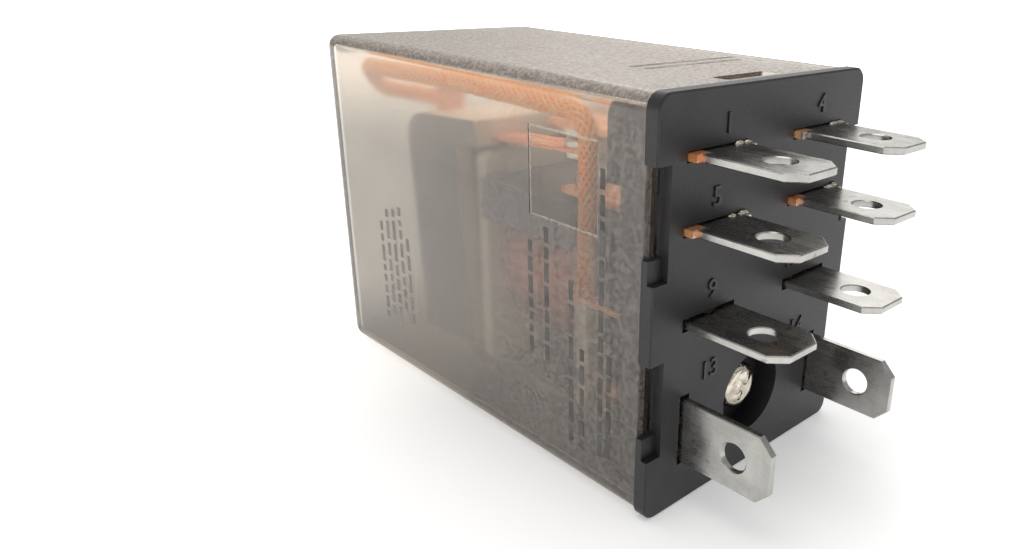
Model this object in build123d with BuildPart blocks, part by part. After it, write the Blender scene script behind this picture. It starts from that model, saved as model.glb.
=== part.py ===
from build123d import *
from math import cos, pi, radians, sin
import os

# Plug-in relay, eight blades, two changeover poles. Millimetres.
# Origin: centre of the terminal face of the base. +Y points out along the blades, the closed end
# of the cover lies towards -Y, +Z is up with the relay on its narrow side, X runs between the
# two wide sides. "Depth" always means the distance behind the terminal face, along -Y.

# case
case_width = 21.5
case_height = 28.0
case_depth = 39.0
flange_thickness = 1.0
flange_corner = 1.0
flange_break = 0.12
cover_inset_x = 0.1
cover_inset_z = 0.1
cover_wall = 0.9
cover_draft = 0.3
cover_corner = 1.1
end_fillet = 1.5
inner_end_fillet = 0.8
pane_depths = (4.9, 11.6)
pane_levels = (4.5, 10.6)
pane_recess = 0.12
latch_window_corner = 0.3

# base
fit_gap = 0.15
pedestal_depth = 4.8
pedestal_corner = 0.8
pocket_inset = 1.25
upper_pocket = (2.7, 9.9)
lower_pocket = (-9.4, -2.6)
pocket_ledge_height = 1.5
pocket_ledge_depth = 0.5
upper_relief = (4.2, 8.0)
lower_relief = (-7.9, -2.7)
relief_inset = 1.2
recess_radius = 3.1
recess_depth = 1.9
latch_width = 5.0
latch_length = 1.0
latch_depth = 2.5
latch_gap = 0.2
nose_root = 0.2
nose_lead = 0.2
nose_sink = 0.25

# blades
blade_width = 4.75
blade_thickness = 0.5
blade_length = 7.3
blade_chamfer = 1.0
blade_root = 1.5
stamped_break = 0.07
blade_hole_radius = 1.0
blade_hole_reach = 4.4
contact_column = 5.33
nc_row = 10.15
no_row = 5.58
com_row = -0.65
coil_column = 7.31
coil_row = -8.27
nib_width = 0.45
nib_reach = 0.65
nib_root = 0.4
nib_slot_depth = 1.0
slot_gap = 0.1
wide_slot_gap = 0.2
ear_slot_start = 3.4
ear_centre = 8.1
ear_width = 2.4
ear_depths = (3.6, 8.2)
common_root = 4.0
shoulder_out = 0.7
shoulder_reach = 1.0
shoulder_depths = (3.6, 4.0)
post_width = 2.0
post_length = 2.2
post_centre = 1.0

# contacts
arm_width = 3.6
nc_arm_depth = 13.2
no_arm_depth = 12.0
nc_contact_depth = 12.04
no_contact_depth = 10.8
contact_radius = 1.2
contact_shank = 0.7
contact_tail_radius = 0.95
contact_tail = 0.25
nc_contact_face = 9.1
no_contact_face = 6.73
contact_edge = 0.25
moving_arm_width = 2.6
moving_arm_thickness = 0.3
moving_contact_radius = 1.1
moving_contact_shank = 0.6
moving_contact_height = 0.6
arm_tip_fillet = 0.9
tab_bend = 0.5

# magnet
core_axis = -2.3
core_radius = 3.0
core_stake_radius = 2.2
core_rivet_radius = 2.7
core_rivet_height = 0.3
steel = 1.4
heel_front = 7.4
heel_top = 1.5
yoke_half_width = 6.5
yoke_bottom = -11.9
yoke_bend = 1.6
bobbin_back = 21.0
bobbin_flange = 1.0
bobbin_half_width = 7.5
bobbin_bottom = -10.4
front_flange_top = 4.4
back_flange_top = 6.6
bobbin_bore = 3.05
bobbin_tube = 3.9
bobbin_corner = 0.6
lead_notch_inner = 6.6
lead_notch_levels = (-8.4, -7.2)
winding_radius = 6.4
shoe_half_width = 6.0
shoe_half_height = 5.6
shoe_corner = 1.5

# moving assembly, in its closed position, where it lies flat on the pole shoe
armature_top = 6.3
armature_lift = 0.12
armature_corner = 1.0
closed_gap = 0.05
pull_in_angle = 3.6
carrier_back = 28.3
carrier_front = 21.6
carrier_top = 8.9
carrier_bottom = -9.4
carrier_roof = 1.9
carrier_roof_front = 19.0
carrier_web = 1.4
cheek_inner = 6.9
cheek_thickness = 1.2
carrier_corner = 2.2
arm_level = 7.53
arm_tip_depth = 9.4
tab_depth = 26.2
tab_top = 10.7

# wires, leaf spring, rivets and insulation
braid_radius = 0.6
braid_level = 11.7
braid_end_gap = 0.35
braid_end_rise = 2.2
braid_start_x = 8.75
braid_start_depth = 7.4
braid_radii = [1.6, 8.0, 0.9, 0.9]
braid_mid = (8.5, 20.5)
braid_far = (7.9, 35.7)
braid_back = (6.6, 35.5)
braid_sag = (0.1, -0.3)
lead_radius = 0.15
lead_bend = 0.5
leaf_thickness = 0.2
leaf_half_width = 4.0
leaf_start = 11.5
leaf_top = -9.7
leaf_rivet_depths = (13.4, 17.4)
leaf_rivet_shank = 0.7
leaf_rivet_head = 1.2
leaf_rivet_height = 0.28
leaf_rivet_edge = 0.15
leaf_bend = 0.5
leaf_stand_off = 0.25
rivet_axis = -8.15
rivet_shank = 1.0
rivet_head_radius = 1.75
rivet_head_height = 1.1
rivet_flare = 0.5
rivet_dome = 0.6
boss_radius = 2.3
barrier_top = 4.95
barrier_plate = 0.5
barrier_half_width = 8.0
skirt_bottom = 1.9
skirt_front = 9.9
barrier_back = 19.9

cover_half_x = case_width / 2 - cover_inset_x
cover_half_z = case_height / 2 - cover_inset_z
inner_half_x = cover_half_x - cover_wall
inner_half_z = cover_half_z - cover_wall
pedestal_half_x = inner_half_x - fit_gap
pedestal_half_z = inner_half_z - fit_gap
heel_back = heel_front + steel
shoe_front = bobbin_back + 0.2
shoe_back = shoe_front + steel
hinge_depth = shoe_back + closed_gap
yoke_top = yoke_bottom + steel
sides = (1, -1)
over = 1.0  # how far a cutter runs past the face it opens

# Plane.XZ faces -Y, so an offset or an extrusion from it is a depth behind the terminal face.
face = Plane.XZ
# The moving assembly turns about the end of the yoke. Its drawing plane looks along +X, has its
# origin on the hinge line and is already tilted open, as the relay stands with its coil off.
open_tilt = radians(pull_in_angle)
swing = Plane(
    origin=(0, -hinge_depth, yoke_bottom),
    x_dir=(0, cos(open_tilt), sin(open_tilt)),
    z_dir=(1, 0, 0),
)


def swing_point(depth, level):
    """Place on the swing plane of a point given by its closed depth and height."""
    return (hinge_depth - depth, level - yoke_bottom)


def swing_box(deep, shallow, low, high, half_width, centre_x=0.0, mode=Mode.ADD):
    """Block of the moving assembly between two closed depths and two closed heights."""
    middle = swing_point((deep + shallow) / 2, (low + high) / 2)
    with BuildSketch(swing.offset(centre_x)) as outline:
        with Locations(middle):
            Rectangle(deep - shallow, high - low)
    extrude(outline.sketch, amount=half_width, both=True, mode=mode)


def face_box(depth_from, depth_to, x_range, z_range, mode=Mode.ADD):
    """Block between two depths and the given ranges of X and Z."""
    with BuildSketch(face.offset(depth_from)) as outline:
        with Locations(((x_range[0] + x_range[1]) / 2, (z_range[0] + z_range[1]) / 2)):
            Rectangle(x_range[1] - x_range[0], z_range[1] - z_range[0])
    extrude(outline.sketch, amount=depth_to - depth_from, mode=mode)


def face_disc(depth_from, depth_to, radius, centre, mode=Mode.ADD):
    """Round block about an axis along Y."""
    with BuildSketch(face.offset(depth_from)) as outline:
        with Locations(centre):
            Circle(radius)
    extrude(outline.sketch, amount=depth_to - depth_from, mode=mode)


def upright_disc(level_from, level_to, radius, x, depth, mode=Mode.ADD):
    """Round block about a vertical axis."""
    with BuildSketch(Plane.XY.offset(level_from)) as outline:
        with Locations((x, -depth)):
            Circle(radius)
    extrude(outline.sketch, amount=level_to - level_from, mode=mode)


def span(side, near, far):
    """Range of X between two distances from the middle, on the given side."""
    return tuple(sorted((side * near, side * far)))


def about(centre, half):
    return (centre - half, centre + half)


def save(part, name):
    part.label = name
    export_step(part, f"parts/{name}.step")


def make_cover():
    mouth = face.offset(flange_thickness)
    with BuildPart() as hollow:
        with BuildSketch(mouth):
            RectangleRounded(2 * inner_half_x, 2 * inner_half_z, cover_corner - cover_wall)
        extrude(amount=case_depth - flange_thickness - cover_wall, taper=cover_draft)
        end_edges = hollow.faces().sort_by(Axis.Y)[0].edges()
        fillet(end_edges, inner_end_fillet)
    with BuildPart() as cover:
        with BuildSketch(mouth):
            RectangleRounded(2 * cover_half_x, 2 * cover_half_z, cover_corner)
        extrude(amount=case_depth - flange_thickness, taper=cover_draft)
        end_edges = cover.faces().sort_by(Axis.Y)[0].edges()
        fillet(end_edges, end_fillet)
        add(hollow.part, mode=Mode.SUBTRACT)
        # latch windows through the two narrow sides
        with BuildSketch(Plane.XY):
            with Locations((0, -latch_depth)):
                RectangleRounded(
                    latch_width + 2 * latch_gap, latch_length + 2 * latch_gap, latch_window_corner
                )
        extrude(amount=case_height, both=True, mode=Mode.SUBTRACT)
        # shallow polished inspection panes on the two wide sides
        pane_floor = cover_half_x - pane_recess
        for side in sides:
            x_range = span(side, pane_floor, case_width)
            face_box(*pane_depths, x_range, pane_levels, mode=Mode.SUBTRACT)
    return cover.part


def cut_pocket(side, z_range):
    """Notch in the flange that bares the mouth of the cover, with a small ledge at its lower end."""
    low, high = z_range
    ledge_top = low + pocket_ledge_height
    x_range = span(side, case_width / 2 - pocket_inset, case_width)
    face_box(0, flange_thickness, x_range, (ledge_top, high), mode=Mode.SUBTRACT)
    face_box(0, pocket_ledge_depth, x_range, (low, ledge_top), mode=Mode.SUBTRACT)


def make_base():
    with BuildPart() as base:
        with BuildSketch(face):
            RectangleRounded(case_width, case_height, flange_corner)
        extrude(amount=flange_thickness)
        chamfer(base.faces().sort_by(Axis.Y)[-1].edges(), flange_break)
        with BuildSketch(face.offset(flange_thickness)):
            RectangleRounded(2 * pedestal_half_x, 2 * pedestal_half_z, pedestal_corner)
        extrude(amount=pedestal_depth - flange_thickness)
        face_disc(pedestal_depth, heel_front, boss_radius, (0, rivet_axis))
        # latch noses, sloped so that the cover rides over them
        nose_back = -latch_depth - latch_length / 2
        nose_front = -latch_depth + latch_length / 2
        for side in sides:
            root = side * (pedestal_half_z - nose_root)
            with BuildSketch(Plane.YZ) as nose:
                with BuildLine():
                    Polyline(
                        (nose_back, root),
                        (nose_back, side * (pedestal_half_z + nose_lead)),
                        (nose_front, side * (cover_half_z - nose_sink)),
                        (nose_front, root),
                        close=True,
                    )
                make_face()
            extrude(nose.sketch, amount=latch_width / 2, both=True)
        for side in sides:
            cut_pocket(side, upper_pocket)
            cut_pocket(side, lower_pocket)
            relief_x = span(side, pedestal_half_x - relief_inset, case_width)
            for z_range in (upper_relief, lower_relief):
                face_box(flange_thickness, pedestal_depth + over, relief_x, z_range, mode=Mode.SUBTRACT)
        # well between the coil blades, with the rivet hole through its floor
        face_disc(0, recess_depth, recess_radius, (0, rivet_axis), mode=Mode.SUBTRACT)
        face_disc(0, heel_front, rivet_shank, (0, rivet_axis), mode=Mode.SUBTRACT)
        # slots for the eight blades
        for side in sides:
            for row in (nc_row, no_row):
                half = blade_width / 2 + slot_gap
                z_range = about(row, blade_thickness / 2 + slot_gap)
                face_box(0, pedestal_depth, about(side * contact_column, half), z_range, mode=Mode.SUBTRACT)
                nib_x = about(side * contact_column, half + nib_width)
                face_box(0, nib_slot_depth, nib_x, z_range, mode=Mode.SUBTRACT)
            half = blade_width / 2 + wide_slot_gap
            z_range = about(com_row, blade_thickness / 2 + wide_slot_gap)
            face_box(0, pedestal_depth, about(side * contact_column, half), z_range, mode=Mode.SUBTRACT)
            ear_x = span(side, contact_column, case_width)
            face_box(ear_slot_start, pedestal_depth, ear_x, z_range, mode=Mode.SUBTRACT)
            x_range = about(side * coil_column, blade_thickness / 2 + wide_slot_gap)
            z_range = about(coil_row, half)
            face_box(0, pedestal_depth, x_range, z_range, mode=Mode.SUBTRACT)
    return base.part


def blade_outline(width):
    """Outline of one blade from the terminal face outwards, tip corners cut off, along local +Y."""
    half = width / 2
    with BuildLine() as rim:
        Polyline(
            (-half, -blade_root),
            (-half, blade_length - blade_chamfer),
            (-half + blade_chamfer, blade_length),
            (half - blade_chamfer, blade_length),
            (half, blade_length - blade_chamfer),
            (half, -blade_root),
            close=True,
        )
    make_face(rim.edges())
    with Locations((0, blade_hole_reach)):
        Circle(blade_hole_radius, mode=Mode.SUBTRACT)


def dull_edges(part):
    """Small breaks along the rims of the two large faces, as stamping leaves them."""
    return chamfer(part.faces().sort_by(SortBy.AREA)[-2:].edges(), stamped_break)


def make_contact_terminal(side, row, arm_depth, contact_depth):
    """Blade, two nibs at its root and the inner arm that carries a fixed contact."""
    x = side * contact_column
    with BuildPart() as terminal:
        with BuildSketch(Plane(origin=(x, 0, row - blade_thickness / 2))):
            blade_outline(blade_width)
            nib_span = blade_width + 2 * nib_width
            with Locations((0, (nib_reach - nib_slot_depth) / 2)):
                Rectangle(nib_span, nib_reach + nib_slot_depth)
            with Locations((0, -(pedestal_depth + nib_slot_depth) / 2)):
                Rectangle(blade_width, pedestal_depth - nib_slot_depth)
            with Locations((0, -(pedestal_depth + arm_depth) / 2)):
                Rectangle(arm_width, arm_depth - pedestal_depth)
            with Locations((0, -contact_depth)):
                Circle(contact_shank, mode=Mode.SUBTRACT)
        extrude(amount=blade_thickness)
        dull_edges(terminal)
    return terminal.part


def make_common_terminal(side):
    """Blade with an outboard ear behind the base, where the braid is welded."""
    x = side * contact_column
    with BuildPart() as terminal:
        with BuildSketch(Plane(origin=(x, 0, com_row - blade_thickness / 2))):
            blade_outline(blade_width)
            with Locations((0, -common_root / 2)):
                Rectangle(blade_width, common_root)
            with Locations((side * (ear_centre - contact_column), -sum(ear_depths) / 2)):
                Rectangle(ear_width, ear_depths[1] - ear_depths[0])
            shoulder_x = side * (blade_width / 4 + shoulder_out)
            with Locations((shoulder_x, -sum(shoulder_depths) / 2)):
                Rectangle(blade_width / 2 + shoulder_reach, shoulder_depths[1] - shoulder_depths[0])
        extrude(amount=blade_thickness)
        dull_edges(terminal)
    return terminal.part


def make_coil_terminal(side):
    """Upright blade, narrowed behind the base to a post for the coil lead."""
    with BuildPart() as terminal:
        blade_plane = Plane(
            origin=(side * coil_column - blade_thickness / 2, 0, coil_row), x_dir=(0, 0, -1), z_dir=(1, 0, 0)
        )
        with BuildSketch(blade_plane):
            blade_outline(blade_width)
            with Locations((0, -pedestal_depth / 2)):
                Rectangle(blade_width, pedestal_depth)
            with Locations((0, -(pedestal_depth + post_centre))):
                Rectangle(post_width, post_length)
        extrude(amount=blade_thickness)
        dull_edges(terminal)
    return terminal.part


def make_fixed_contact(side, row, depth, contact_face):
    """Contact rivet: domed head towards the moving contact, shank through the arm, closed tail."""
    x = side * contact_column
    above = contact_face > row
    head_root = row + blade_thickness / 2 if above else row - blade_thickness / 2
    tail_root = row - blade_thickness / 2 if above else row + blade_thickness / 2
    tail_end = tail_root - contact_tail if above else tail_root + contact_tail
    with BuildPart() as contact:
        upright_disc(head_root, contact_face, contact_radius, x, depth)
        rim = contact.faces().sort_by(Axis.Z)[-1 if above else 0].edges()
        fillet(rim, contact_edge)
        upright_disc(tail_root, head_root, contact_shank, x, depth)
        upright_disc(tail_root, tail_end, contact_tail_radius, x, depth)
    return contact.part


def make_moving_arm(side):
    """Springy copper-alloy strip: contact end, run through the carrier, tab for the braid."""
    low = arm_level - moving_arm_thickness / 2
    high = arm_level + moving_arm_thickness / 2
    with BuildPart() as arm:
        with BuildSketch(swing.offset(side * contact_column)):
            with BuildLine() as strip_line:
                FilletPolyline(
                    swing_point(arm_tip_depth, arm_level),
                    swing_point(tab_depth, arm_level),
                    swing_point(tab_depth, tab_top),
                    radius=tab_bend,
                )
            trace(strip_line.line, line_width=moving_arm_thickness)
        extrude(amount=moving_arm_width / 2, both=True)
        tip_edges = arm.edges().filter_by(lambda e: abs(e.length - (high - low)) < 0.001)
        tip_edges = tip_edges.sort_by(Axis.Y)[-2:]
        fillet(tip_edges, arm_tip_fillet)
        swing_disc(low - over, high + over, moving_contact_shank, side, mode=Mode.SUBTRACT)
    return arm.part


def swing_disc(level_from, level_to, radius, side, mode=Mode.ADD):
    """Round block of the moving assembly about the axis of the moving contact."""
    along, up = swing_point(no_contact_depth, level_from)
    centre = swing.from_local_coords(Vector(along, up, side * contact_column))
    disc_plane = Plane(origin=centre, x_dir=(1, 0, 0), z_dir=swing.y_dir)
    with BuildSketch(disc_plane) as outline:
        Circle(radius)
    extrude(outline.sketch, amount=level_to - level_from, mode=mode)


def make_moving_contact(side):
    """Two-headed rivet at the end of the moving arm."""
    low = arm_level - moving_arm_thickness / 2
    high = arm_level + moving_arm_thickness / 2
    with BuildPart() as contact:
        swing_disc(high, high + moving_contact_height, moving_contact_radius, side)
        swing_disc(low - moving_contact_height, low, moving_contact_radius, side)
        ends = contact.faces().sort_by(Axis.Z)
        fillet(ends[0].edges() + ends[-1].edges(), contact_edge)
        swing_disc(low, high, moving_contact_shank, side)
    return contact.part


def make_armature():
    with BuildPart() as armature:
        foot = yoke_bottom + armature_lift
        swing_box(hinge_depth + steel, hinge_depth, foot, armature_top, yoke_half_width)
        corners = armature.edges().filter_by(lambda e: abs(e.length - steel) < 0.001)
        fillet(corners.group_by(Axis.Z)[-1], armature_corner)
    return armature.part


def make_carrier(moving_arms):
    """Moulded block on the back of the armature: web, roof over the coil end, two cheeks."""
    armature_back = hinge_depth + steel
    roof_low = carrier_top - carrier_roof
    cheek_outer = cheek_inner + cheek_thickness
    below = carrier_bottom - over
    with BuildPart() as carrier:
        swing_box(carrier_back, carrier_front, carrier_bottom, carrier_top, cheek_outer)
        back_corner = swing.from_local_coords(Vector(*swing_point(carrier_back, carrier_top), 0))
        fillet(carrier.edges().filter_by(Axis.X).sort_by_distance(back_corner)[0], carrier_corner)
        swing_box(carrier_front, carrier_roof_front, roof_low, carrier_top, cheek_outer)
        # hollow in front of the web for the armature and the pole shoe, and behind it to save plastic
        swing_box(armature_back, carrier_front - over, below, roof_low, cheek_inner, mode=Mode.SUBTRACT)
        web_back = armature_back + carrier_web
        swing_box(carrier_back + over, web_back, below, roof_low, cheek_inner, mode=Mode.SUBTRACT)
        for arm in moving_arms:
            add(arm, mode=Mode.SUBTRACT)
    return carrier.part


def make_yoke():
    """L-shaped steel frame: heel riveted to the base, long leg under the coil up to the hinge."""
    with BuildPart() as yoke:
        with BuildSketch(Plane.YZ):
            with BuildLine():
                Polyline(
                    (-heel_front, heel_top),
                    (-heel_front, yoke_bottom),
                    (-shoe_back, yoke_bottom),
                    (-shoe_back, yoke_top),
                    (-heel_back, yoke_top),
                    (-heel_back, heel_top),
                    close=True,
                )
            make_face()
        extrude(amount=yoke_half_width, both=True)
        outer_corner = yoke.edges().filter_by(Axis.X).sort_by_distance((0, -heel_front, yoke_bottom))[0]
        fillet(outer_corner, yoke_bend)
        face_disc(heel_front, heel_back, core_stake_radius, (0, core_axis), mode=Mode.SUBTRACT)
        face_disc(heel_front, heel_back, rivet_shank, (0, rivet_axis), mode=Mode.SUBTRACT)
        with BuildSketch(face.offset(heel_back)):
            with Locations((0, rivet_axis)):
                Circle(rivet_shank + rivet_flare)
        extrude(amount=-rivet_flare, taper=45, mode=Mode.SUBTRACT)
        for depth in leaf_rivet_depths:
            upright_disc(yoke_bottom, yoke_top, leaf_rivet_shank, 0, depth, mode=Mode.SUBTRACT)
    return yoke.part


def make_core():
    """Iron core: staked through the heel at one end and through the pole shoe at the other."""
    axis_at = (0, core_axis)
    with BuildPart() as core:
        face_disc(heel_back, shoe_front, core_radius, axis_at)
        face_disc(shoe_front, shoe_back, core_stake_radius, axis_at)
        face_disc(heel_front, heel_back, core_stake_radius, axis_at)
        face_disc(heel_front - core_rivet_height, heel_front, core_rivet_radius, axis_at)
        fillet(core.faces().sort_by(Axis.Y)[-1].edges(), core_rivet_height / 2)
    return core.part


def make_pole_shoe():
    with BuildPart() as shoe:
        with BuildSketch(face.offset(shoe_front)):
            with Locations((0, core_axis)):
                RectangleRounded(2 * shoe_half_width, 2 * shoe_half_height, shoe_corner)
                Circle(core_stake_radius, mode=Mode.SUBTRACT)
        extrude(amount=steel)
    return shoe.part


def make_bobbin():
    """Moulded former: tube and two flanges, notched where the coil leads pass."""
    flange_x = (-bobbin_half_width, bobbin_half_width)
    front = heel_back
    with BuildPart() as bobbin:
        face_disc(front, bobbin_back, bobbin_tube, (0, core_axis))
        face_box(front, front + bobbin_flange, flange_x, (bobbin_bottom, front_flange_top))
        face_box(bobbin_back - bobbin_flange, bobbin_back, flange_x, (bobbin_bottom, back_flange_top))
        outer_x = bobbin_half_width - 0.1
        upright = bobbin.edges().filter_by(Axis.Y).filter_by(lambda e: abs(e.center().X) > outer_x)
        fillet(upright, bobbin_corner)
        face_disc(front, bobbin_back, bobbin_bore, (0, core_axis), mode=Mode.SUBTRACT)
        for side in sides:
            notch_x = span(side, lead_notch_inner, bobbin_half_width + over)
            face_box(front, front + bobbin_flange, notch_x, lead_notch_levels, mode=Mode.SUBTRACT)
    return bobbin.part


def make_winding():
    front = heel_back + bobbin_flange
    back = bobbin_back - bobbin_flange
    with BuildPart() as winding:
        face_disc(front, back, winding_radius, (0, core_axis))
        face_disc(front, back, bobbin_tube, (0, core_axis), mode=Mode.SUBTRACT)
    return winding.part


def make_barrier():
    """Insulating tray between the contacts and the coil, with a skirt down each side."""
    plate_low = barrier_top - barrier_plate
    full = (-barrier_half_width, barrier_half_width)
    with BuildPart() as barrier:
        face_box(pedestal_depth, barrier_back, full, (plate_low, barrier_top))
        for side in sides:
            skirt_x = span(side, barrier_half_width - barrier_plate, barrier_half_width)
            face_box(skirt_front, barrier_back, skirt_x, (skirt_bottom, barrier_top))
    return barrier.part


def make_hinge_spring():
    """Leaf spring: flat under the yoke, bent up behind the armature, pushing it open."""
    back = hinge_depth + steel + leaf_stand_off
    middle = leaf_thickness / 2
    with BuildPart() as leaf:
        with BuildSketch(Plane.YZ):
            with BuildLine() as leaf_line:
                FilletPolyline(
                    (-leaf_start, yoke_bottom - middle),
                    (-back - middle, yoke_bottom - middle),
                    (-back - middle, leaf_top),
                    radius=leaf_bend,
                )
            trace(leaf_line.line, line_width=leaf_thickness)
        extrude(amount=leaf_half_width, both=True)
        for depth in leaf_rivet_depths:
            upright_disc(yoke_bottom - over, yoke_bottom, leaf_rivet_shank, 0, depth, mode=Mode.SUBTRACT)
    return leaf.part


def make_leaf_rivets():
    leaf_bottom = yoke_bottom - leaf_thickness
    with BuildPart() as rivets:
        for depth in leaf_rivet_depths:
            upright_disc(leaf_bottom, yoke_top, leaf_rivet_shank, 0, depth)
            upright_disc(leaf_bottom - leaf_rivet_height, leaf_bottom, leaf_rivet_head, 0, depth)
            upright_disc(yoke_top, yoke_top + leaf_rivet_height, leaf_rivet_head, 0, depth)
        heads = rivets.edges().filter_by(GeomType.CIRCLE).group_by(Axis.Z)
        fillet(heads[0] + heads[-1], leaf_rivet_edge)
    return rivets.part


def make_base_rivet():
    """Rivet in the well: domed head on the floor, shank through the boss, flared in the heel."""
    axis_at = (0, rivet_axis)
    with BuildPart() as rivet:
        face_disc(recess_depth - rivet_head_height, recess_depth, rivet_head_radius, axis_at)
        fillet(rivet.faces().sort_by(Axis.Y)[-1].edges(), rivet_dome)
        face_disc(recess_depth, heel_back, rivet_shank, axis_at)
        with BuildSketch(face.offset(heel_back)):
            with Locations(axis_at):
                Circle(rivet_shank + rivet_flare)
        extrude(amount=-rivet_flare, taper=45)
    return rivet.part


def make_wire(points, radii, radius):
    """Round wire along straight runs joined by tangent arcs."""
    with BuildPart() as wire:
        with BuildLine():
            route = FilletPolyline(*points, radius=radii)
        with BuildSketch(Plane(origin=route @ 0, z_dir=route % 0)):
            Circle(radius)
        sweep(path=route)
    expected = pi * radius**2 * route.length
    print(f"wire: length {route.length:.2f}, volume over section times length {wire.part.volume / expected:.4f}")
    return wire.part


def make_braid(side):
    """Copper pigtail: up from the common terminal, back over the contacts, round to the arm's tab."""
    end = swing.from_local_coords(Vector(*swing_point(tab_depth + braid_end_gap, arm_level + braid_end_rise), 0))
    points = [
        (side * braid_start_x, -braid_start_depth, com_row + blade_thickness / 2),
        (side * braid_start_x, -braid_start_depth, braid_level),
        (side * braid_mid[0], -braid_mid[1], braid_level + braid_sag[0]),
        (side * braid_far[0], -braid_far[1], braid_level + braid_sag[1]),
        (side * braid_back[0], -braid_back[1], end.Z),
        (side * contact_column, end.Y, end.Z),
    ]
    return make_wire(points, braid_radii, braid_radius)


def make_coil_lead(side):
    """Enamelled wire from the winding, through the flange notch, to the coil terminal's post."""
    outer_face = coil_column + blade_thickness / 2 + lead_radius
    points = [
        (side * 5.6, -10.4, -5.9),
        (side * 7.0, -10.1, -7.7),
        (side * 7.0, -8.5, -7.8),
        (side * outer_face, -7.2, -8.2),
        (side * outer_face, -5.6, coil_row),
    ]
    return make_wire(points, [lead_bend] * 3, lead_radius)


os.makedirs("parts", exist_ok=True)

save(make_cover(), "cover")
save(make_base(), "base")

side_names = {1: "right", -1: "left"}
blade_numbers = {1: ("1", "5", "9", "13"), -1: ("4", "8", "12", "14")}
moving_arms = []
for side in sides:
    word = side_names[side]
    nc_number, no_number, com_number, coil_number = blade_numbers[side]
    save(make_contact_terminal(side, nc_row, nc_arm_depth, nc_contact_depth), f"terminal_{nc_number}_nc")
    save(make_contact_terminal(side, no_row, no_arm_depth, no_contact_depth), f"terminal_{no_number}_no")
    save(make_common_terminal(side), f"terminal_{com_number}_common")
    save(make_coil_terminal(side), f"terminal_{coil_number}_coil")
    save(make_fixed_contact(side, nc_row, nc_contact_depth, nc_contact_face), f"nc_contact_{word}")
    save(make_fixed_contact(side, no_row, no_contact_depth, no_contact_face), f"no_contact_{word}")
    arm = make_moving_arm(side)
    moving_arms.append(arm)
    save(arm, f"moving_arm_{word}")
    save(make_moving_contact(side), f"moving_contact_{word}")
    save(make_braid(side), f"braid_{word}")
    save(make_coil_lead(side), f"coil_lead_{word}")

save(make_carrier(moving_arms), "contact_carrier")
save(make_armature(), "armature")
save(make_yoke(), "yoke")
save(make_core(), "core")
save(make_pole_shoe(), "pole_shoe")
save(make_bobbin(), "bobbin")
save(make_winding(), "coil_winding")
save(make_barrier(), "contact_barrier")
save(make_hinge_spring(), "hinge_spring")
save(make_leaf_rivets(), "hinge_spring_rivets")
save(make_base_rivet(), "base_rivet")
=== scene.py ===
import bpy
import bmesh
import math
import random
from mathutils import Matrix, Vector, noise


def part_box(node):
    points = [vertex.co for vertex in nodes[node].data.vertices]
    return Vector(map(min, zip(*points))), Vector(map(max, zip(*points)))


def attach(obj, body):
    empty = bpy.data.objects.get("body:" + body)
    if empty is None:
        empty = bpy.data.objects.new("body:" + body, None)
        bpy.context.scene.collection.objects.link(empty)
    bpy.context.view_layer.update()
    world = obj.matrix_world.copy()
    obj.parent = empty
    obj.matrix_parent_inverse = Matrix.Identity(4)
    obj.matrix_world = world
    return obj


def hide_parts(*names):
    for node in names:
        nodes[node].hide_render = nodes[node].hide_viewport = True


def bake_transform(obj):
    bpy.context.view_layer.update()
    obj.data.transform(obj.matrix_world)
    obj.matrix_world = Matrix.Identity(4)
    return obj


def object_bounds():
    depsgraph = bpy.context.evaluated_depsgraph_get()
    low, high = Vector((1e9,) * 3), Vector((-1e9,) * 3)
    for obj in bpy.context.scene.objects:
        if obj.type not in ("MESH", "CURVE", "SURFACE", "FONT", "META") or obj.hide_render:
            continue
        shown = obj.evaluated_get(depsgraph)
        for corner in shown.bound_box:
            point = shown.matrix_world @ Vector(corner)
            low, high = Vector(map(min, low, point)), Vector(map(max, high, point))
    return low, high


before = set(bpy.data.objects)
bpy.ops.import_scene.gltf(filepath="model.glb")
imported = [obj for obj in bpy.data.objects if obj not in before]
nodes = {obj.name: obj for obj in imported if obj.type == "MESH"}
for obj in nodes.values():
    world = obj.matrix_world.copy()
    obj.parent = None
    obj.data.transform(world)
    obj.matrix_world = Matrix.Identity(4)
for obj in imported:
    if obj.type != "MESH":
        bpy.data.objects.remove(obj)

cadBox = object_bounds()
mm = 0.001
scene = bpy.context.scene
random.seed(7)
print("frame loaded:", len(nodes), "nodes")


# small helpers for materials

# bump depths in metres, and the stretch of noise values taken as the full swing
depth = {"plastic": 0.04 * mm, "metal": 0.02 * mm, "blade": 0.03 * mm}
wideSwing = (0.3, 0.7)
narrowSwing = (0.35, 0.65)


def newMaterial(name):
    mat = bpy.data.materials.new(name)
    mat.use_nodes = True
    tree = mat.node_tree
    tree.nodes.clear()
    out = tree.nodes.new("ShaderNodeOutputMaterial")
    return mat, tree, out


def addNode(tree, kind, **values):
    node = tree.nodes.new(kind)
    for key, value in values.items():
        setattr(node, key, value)
    return node


def mathNode(tree, operation, a, b=None):
    node = addNode(tree, "ShaderNodeMath", operation=operation)
    for i, value in enumerate((a, b)):
        if value is None:
            continue
        if isinstance(value, (int, float)):
            node.inputs[i].default_value = value
        else:
            tree.links.new(value, node.inputs[i])
    return node.outputs[0]


def objectPosition(tree):
    coords = addNode(tree, "ShaderNodeTexCoord")
    return coords.outputs["Object"]


def axisValues(tree, position):
    split = addNode(tree, "ShaderNodeSeparateXYZ")
    tree.links.new(position, split.inputs[0])
    return split.outputs[0], split.outputs[1], split.outputs[2]


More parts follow.
